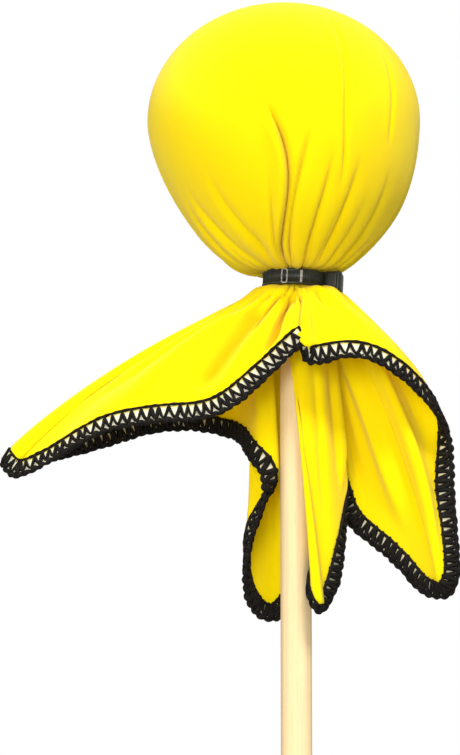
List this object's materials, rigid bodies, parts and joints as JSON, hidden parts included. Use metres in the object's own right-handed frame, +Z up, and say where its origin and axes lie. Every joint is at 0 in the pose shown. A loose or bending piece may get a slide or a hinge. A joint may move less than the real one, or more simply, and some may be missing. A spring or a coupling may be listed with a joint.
{
  "type": "padded ball head stick with cloth cover",
  "caption": "Wooden dowel with a padded ball head wrapped in a square of yellow stretch cloth, cinched by a cable tie so that its overlocked corners hang as a skirt.",
  "frame": {"origin": "middle of the dowel's bottom end face", "axes": "+Z up the dowel towards the padded head, +X towards the cable tie's locking head, -Y the side with the front notch of the skirt"},
  "size_m": [0.1422, 0.084, 0.336],
  "materials": {
    "wood": "bare sanded pale hardwood",
    "foam": "closed-cell foam",
    "wadding": "white fibre wadding",
    "cloth": "thin smooth yellow stretch knit",
    "thread": "fluffy black overlock thread",
    "tie": "black moulded nylon, satin"
  },
  "bodies": {
    "root": {"wooden_dowel": "wood", "foam_core_ball": "foam", "head_wadding": "wadding", "cloth_pouch": "cloth", "cloth_skirt": "cloth", "hem_upper_looper_thread": "thread", "hem_lower_looper_thread": "thread", "hem_needle_thread": "thread", "cable_tie": "tie"}
  },
  "joints": []
}
